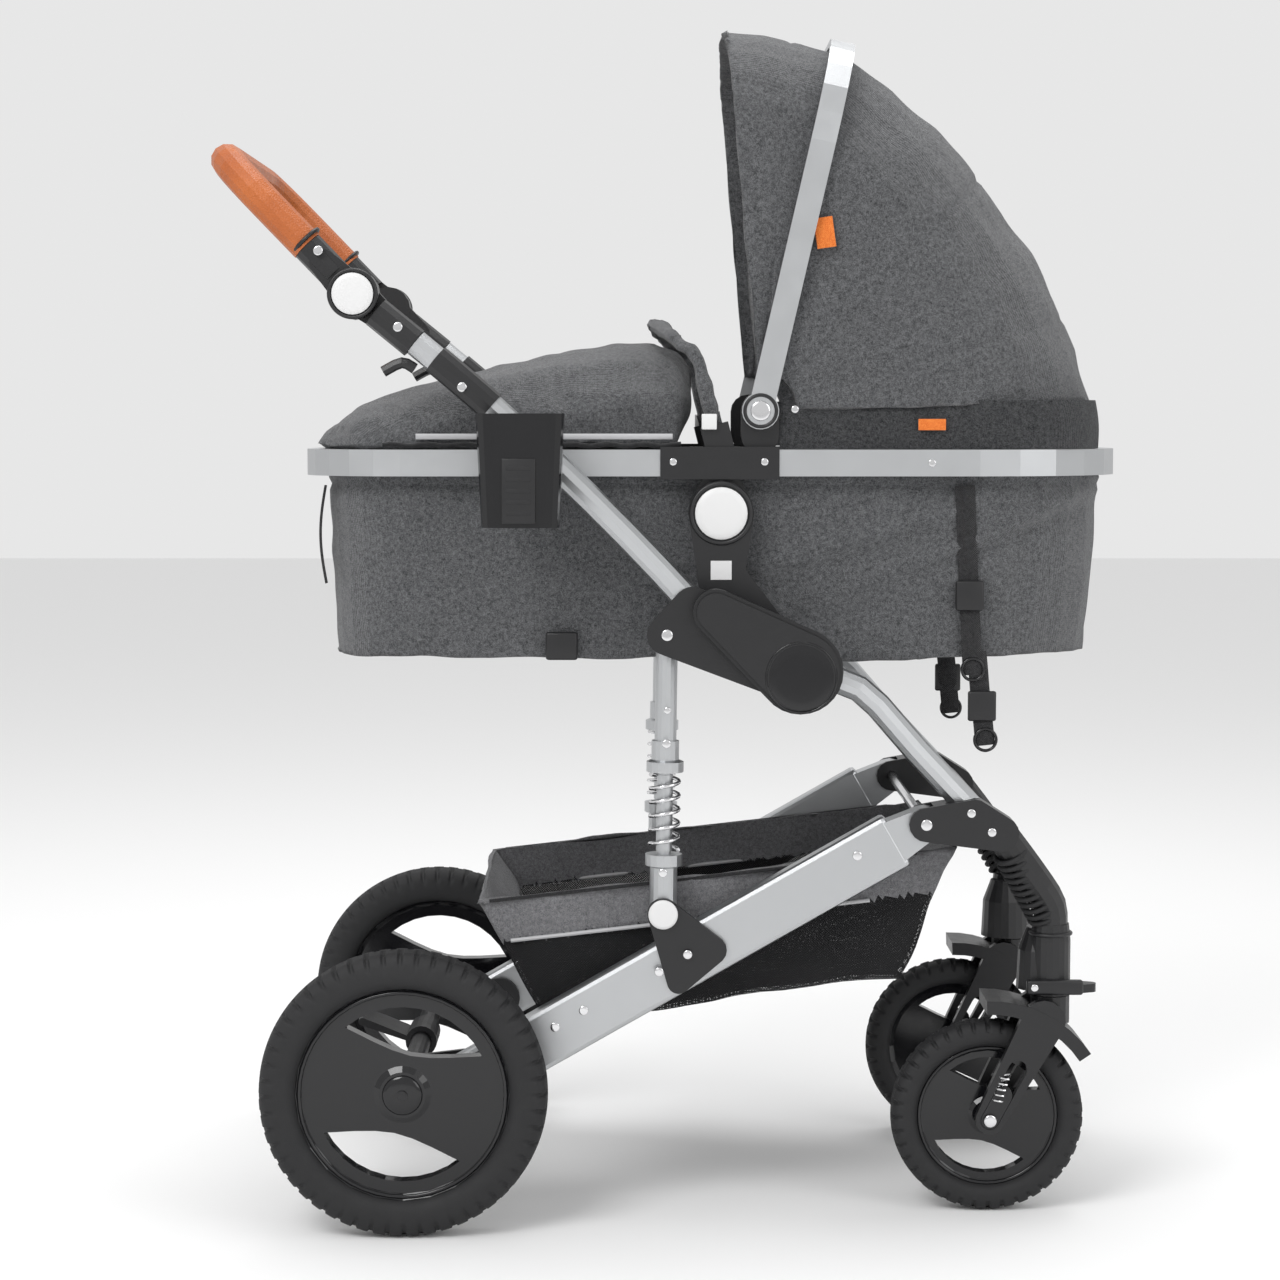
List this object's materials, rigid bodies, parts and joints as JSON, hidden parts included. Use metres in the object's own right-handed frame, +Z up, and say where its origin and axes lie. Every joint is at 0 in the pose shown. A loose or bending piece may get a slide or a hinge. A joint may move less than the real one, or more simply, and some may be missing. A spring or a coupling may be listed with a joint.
{
  "type": "baby stroller",
  "caption": "Baby stroller with carrycot, folding hood, tilting leather handle, folding side frame, sprung swivel wheels and mesh basket",
  "frame": {"origin": "middle of the footprint box on the floor", "axes": "+X towards the small front wheels, +Y to the stroller's left, +Z up"},
  "size_m": [0.9744, 0.5856, 1.2648],
  "materials": {
    "frame_aluminium": "satin anodised",
    "bright_steel": "bright plated",
    "tyre_rubber": "matte rubber with moulded tread",
    "gloss_rim": "glossy black",
    "white_button": "satin white",
    "grip_leather": "smooth orange-brown leather",
    "melange_fabric": "woven grey melange",
    "mesh_fabric": "open black mesh with grey bands",
    "black_plastic": "fine-grained satin black"
  },
  "bodies": {
    "rear_frame": {"basket": "mesh_fabric", "rail_L": "frame_aluminium", "rail_R": "frame_aluminium", "rear_axle": "black_plastic", "strut_bracket_L": "black_plastic", "strut_bracket_R": "black_plastic"},
    "brake": {"brake_pedal": "black_plastic"},
    "bumper": {"bumper_bar": "black_plastic"},
    "canopy": {"canopy_bow": "frame_aluminium", "canopy_visor": "melange_fabric"},
    "seat": {"canopy_rear": "melange_fabric", "foot_cover": "melange_fabric", "seat_bracket_L": "black_plastic", "seat_bracket_R": "black_plastic", "seat_rail": "frame_aluminium", "seat_tub": "melange_fabric"},
    "frame": {"castor_socket_L": "black_plastic", "castor_socket_R": "black_plastic", "front_crosspiece": "black_plastic", "front_leg_L": "frame_aluminium", "front_leg_R": "frame_aluminium", "hub_cover_L": "black_plastic", "hub_cover_R": "black_plastic", "seat_adaptor_L": "black_plastic", "seat_adaptor_R": "black_plastic"},
    "handle_frame": {"cup_holder": "black_plastic", "handle_joint_L": "black_plastic", "handle_joint_R": "black_plastic", "handle_tube_L": "frame_aluminium", "handle_tube_R": "frame_aluminium", "hub_plate_L": "black_plastic", "hub_plate_R": "black_plastic", "trigger_sleeve_L": "black_plastic", "trigger_sleeve_R": "black_plastic"},
    "fold_trigger_L": {"fold_trigger_L": "black_plastic"},
    "fold_trigger_R": {"fold_trigger_R": "black_plastic"},
    "castor_L": {"fork_L": "black_plastic"},
    "castor_R": {"fork_R": "black_plastic"},
    "fork_slider_L": {"fork_slider_L": "black_plastic"},
    "fork_slider_R": {"fork_slider_R": "black_plastic"},
    "front_wheel_L": {"front_rim_L": "gloss_rim", "front_tyre_L": "tyre_rubber"},
    "front_wheel_R": {"front_rim_R": "gloss_rim", "front_tyre_R": "tyre_rubber"},
    "handle": {"handle_arm_L": "black_plastic", "handle_arm_R": "black_plastic", "handle_grip": "grip_leather"},
    "rail_pivot": {"pivot_shaft": "bright_steel"},
    "rear_wheel_L": {"rear_rim_L": "gloss_rim", "rear_tyre_L": "tyre_rubber"},
    "rear_wheel_R": {"rear_rim_R": "gloss_rim", "rear_tyre_R": "tyre_rubber"},
    "seat_release_L": {"seat_release_button_L": "white_button"},
    "seat_release_R": {"seat_release_button_R": "white_button"},
    "shock_rods": {"shock_rod_L": "frame_aluminium", "shock_rod_R": "frame_aluminium"},
    "struts": {"shock_spring_L": "bright_steel", "shock_spring_R": "bright_steel", "strut_tube_L": "frame_aluminium", "strut_tube_R": "frame_aluminium"}
  },
  "joints": [
    {"name": "rear_fold", "type": "hinge", "parent": "frame", "child": "rail_pivot", "pos_m": [0.26465, 0, 0.4226], "axis": [0, 1, 0], "range_deg": [0, 27]},
    {"name": "handle_fold", "type": "hinge", "parent": "frame", "child": "handle_frame", "pos_m": [0.13204, 0, 0.5789], "axis": [0, 1, 0], "range_deg": [0, 65.8]},
    {"name": "strut_fold", "type": "hinge", "parent": "handle_frame", "child": "struts", "pos_m": [-0.00674, 0, 0.6216], "axis": [0, 1, 0], "range_deg": [-38.71, 0]},
    {"name": "rear_suspension", "type": "hinge", "parent": "rail_pivot", "child": "rear_frame", "pos_m": [0.26465, 0, 0.4226], "axis": [0, 1, 0], "range_deg": [0, 2], "stiffness_Nm_per_rad": 400, "springref_deg": -9.74},
    {"name": "shock_compression", "type": "slide", "parent": "struts", "child": "shock_rods", "axis": [0.014, 0, 0.9999], "range_m": [0, 0.01], "deforming": ["shock_spring_L", "shock_spring_R"]},
    {"name": "handle_tilt", "type": "hinge", "parent": "handle_frame", "child": "handle", "pos_m": [-0.33135, 0, 0.97467], "axis": [0, 1, 0], "range_deg": [-106, 0]},
    {"name": "fold_trigger_pull_R", "type": "slide", "parent": "handle_frame", "child": "fold_trigger_R", "axis": [-0.7364, 0, 0.6765], "range_m": [0, 0.004], "stiffness_N_per_m": 300, "springref_m": -0.006},
    {"name": "fold_trigger_pull_L", "type": "slide", "parent": "handle_frame", "child": "fold_trigger_L", "axis": [-0.7364, 0, 0.6765], "range_m": [0, 0.004], "stiffness_N_per_m": 300, "springref_m": -0.006},
    {"name": "seat_tilt", "type": "hinge", "parent": "frame", "child": "seat", "pos_m": [0.05024, 0, 0.7472], "axis": [0, 1, 0], "range_deg": [-12, 12]},
    {"name": "canopy_fold", "type": "hinge", "parent": "seat", "child": "canopy", "pos_m": [0.09125, 0, 0.8544], "axis": [0, 1, 0], "range_deg": [-25, 73.5], "deforming": ["canopy_rear"]},
    {"name": "bumper_lift", "type": "slide", "parent": "seat", "child": "bumper", "axis": [-0.2419, 0, 0.9703], "range_m": [0, 0.03]},
    {"name": "seat_release_press_R", "type": "slide", "parent": "frame", "child": "seat_release_R", "axis": [0, 1, 0], "range_m": [0, 0.003], "stiffness_N_per_m": 300, "springref_m": -0.003},
    {"name": "seat_release_press_L", "type": "slide", "parent": "frame", "child": "seat_release_L", "axis": [0, -1, 0], "range_m": [0, 0.003], "stiffness_N_per_m": 300, "springref_m": -0.003},
    {"name": "castor_swivel_R", "type": "hinge", "parent": "frame", "child": "castor_R", "pos_m": [0.40364, -0.168, 0.103], "axis": [0, 0, 1], "continuous": true},
    {"name": "fork_travel_R", "type": "slide", "parent": "castor_R", "child": "fork_slider_R", "axis": [0.4695, 0, 0.8829], "range_m": [0, 0.0045], "stiffness_N_per_m": 4000, "springref_m": -0.015},
    {"name": "front_wheel_spin_R", "type": "hinge", "parent": "fork_slider_R", "child": "front_wheel_R", "pos_m": [0.33665, -0.168, 0.103], "axis": [0, 1, 0], "continuous": true},
    {"name": "castor_swivel_L", "type": "hinge", "parent": "frame", "child": "castor_L", "pos_m": [0.40364, 0.168, 0.103], "axis": [0, 0, 1], "continuous": true},
    {"name": "fork_travel_L", "type": "slide", "parent": "castor_L", "child": "fork_slider_L", "axis": [0.4695, 0, 0.8829], "range_m": [0, 0.0045], "stiffness_N_per_m": 4000, "springref_m": -0.015},
    {"name": "front_wheel_spin_L", "type": "hinge", "parent": "fork_slider_L", "child": "front_wheel_L", "pos_m": [0.33665, 0.168, 0.103], "axis": [0, 1, 0], "continuous": true},
    {"name": "rear_wheel_spin_R", "type": "hinge", "parent": "rear_frame", "child": "rear_wheel_R", "pos_m": [-0.28036, -0.2698, 0.15], "axis": [0, 1, 0], "continuous": true},
    {"name": "rear_wheel_spin_L", "type": "hinge", "parent": "rear_frame", "child": "rear_wheel_L", "pos_m": [-0.28036, 0.2698, 0.15], "axis": [0, 1, 0], "continuous": true},
    {"name": "brake_press", "type": "hinge", "parent": "rear_frame", "child": "brake", "pos_m": [-0.28036, 0, 0.15], "axis": [0, -1, 0], "range_deg": [0, 25]}
  ],
  "couplings": [
    {"joint": "handle_fold", "follows": "rear_fold", "ratio": 2.4296},
    {"joint": "strut_fold", "follows": "rear_fold", "ratio": -1.4264},
    {"joint": "shock_compression", "follows": "rear_suspension", "m_per_rad": 0.2755}
  ]
}
